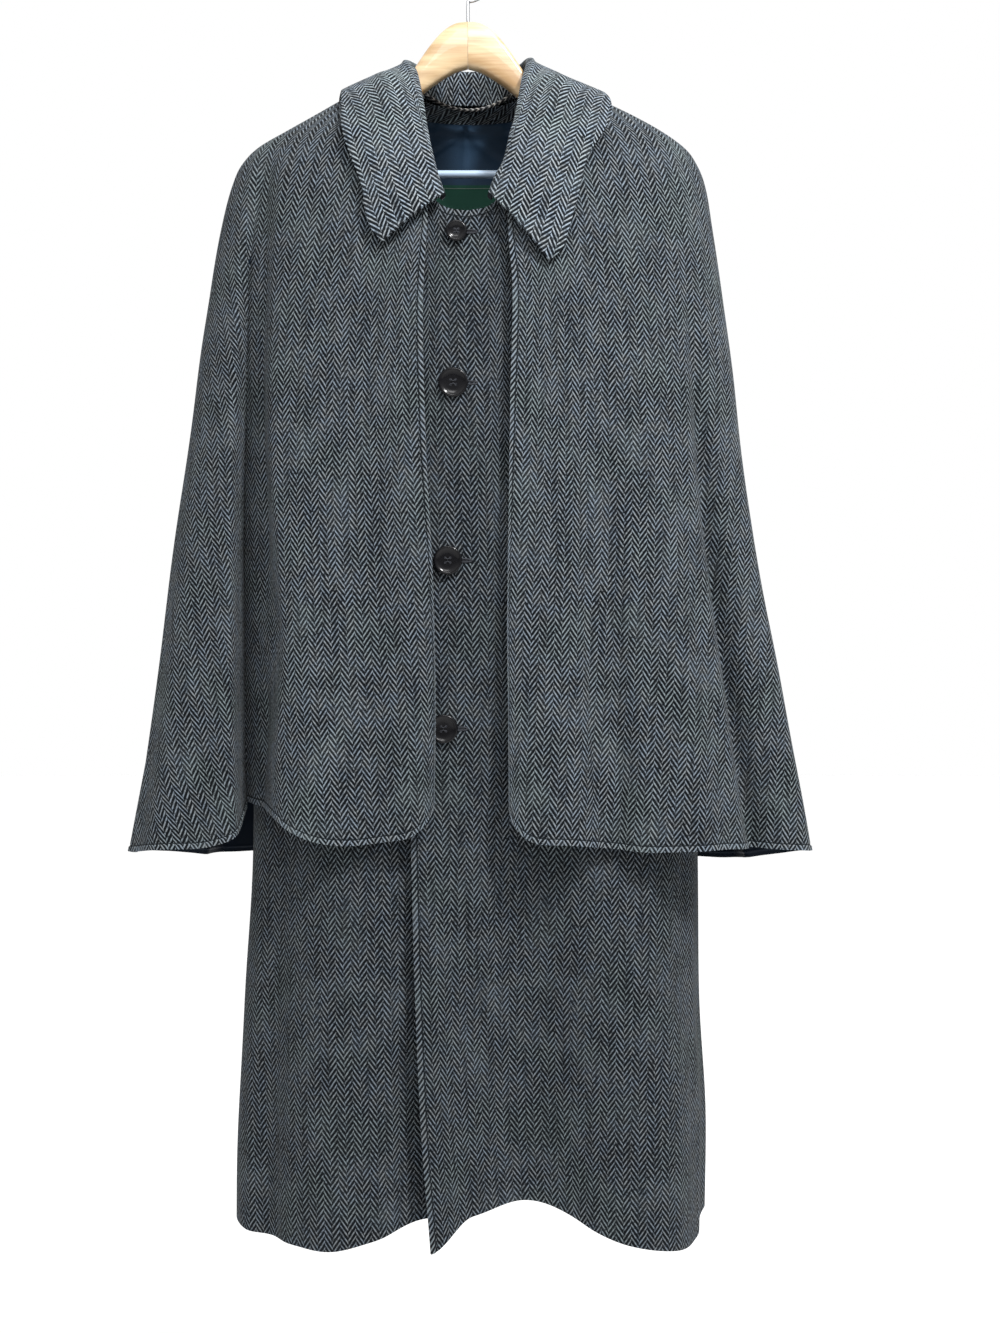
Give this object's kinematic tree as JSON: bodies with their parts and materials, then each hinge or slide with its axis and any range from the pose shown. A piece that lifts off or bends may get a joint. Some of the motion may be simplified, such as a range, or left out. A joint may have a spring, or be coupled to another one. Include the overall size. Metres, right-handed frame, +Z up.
{
  "type": "inverness cape on a clothes hanger",
  "caption": "Sleeveless herringbone tweed Inverness coat with a shoulder cape, fall collar and four buttons, hanging on a wooden hanger with a trouser bar",
  "frame": {"origin": "inner top of the hanger's hook, where it hangs on a rail", "axes": "+X across the shoulders to the wearer's left, -Y to the front, +Z up"},
  "size_m": [0.6782, 0.2525, 1.2694],
  "materials": {
    "tweed": "matte",
    "lining": "satin",
    "label": "matte",
    "horn": "polished",
    "wood": "lacquered",
    "bar": "satin",
    "steel": "polished"
  },
  "bodies": {
    "root": {"coat_back": "tweed", "front_left": "tweed", "front_right": "tweed", "cape_left": "tweed", "cape_right": "tweed", "cape_back": "tweed", "collar": "tweed", "neck_facing": "tweed", "back_lining": "lining", "hanging_loop": "tweed", "neck_label": "label", "button_1": "horn", "button_2": "horn", "button_3": "horn", "button_4": "horn", "hanger_right": "wood", "hanger_left": "wood", "hanger_bar": "bar", "hanger_hook": "steel"}
  },
  "joints": []
}
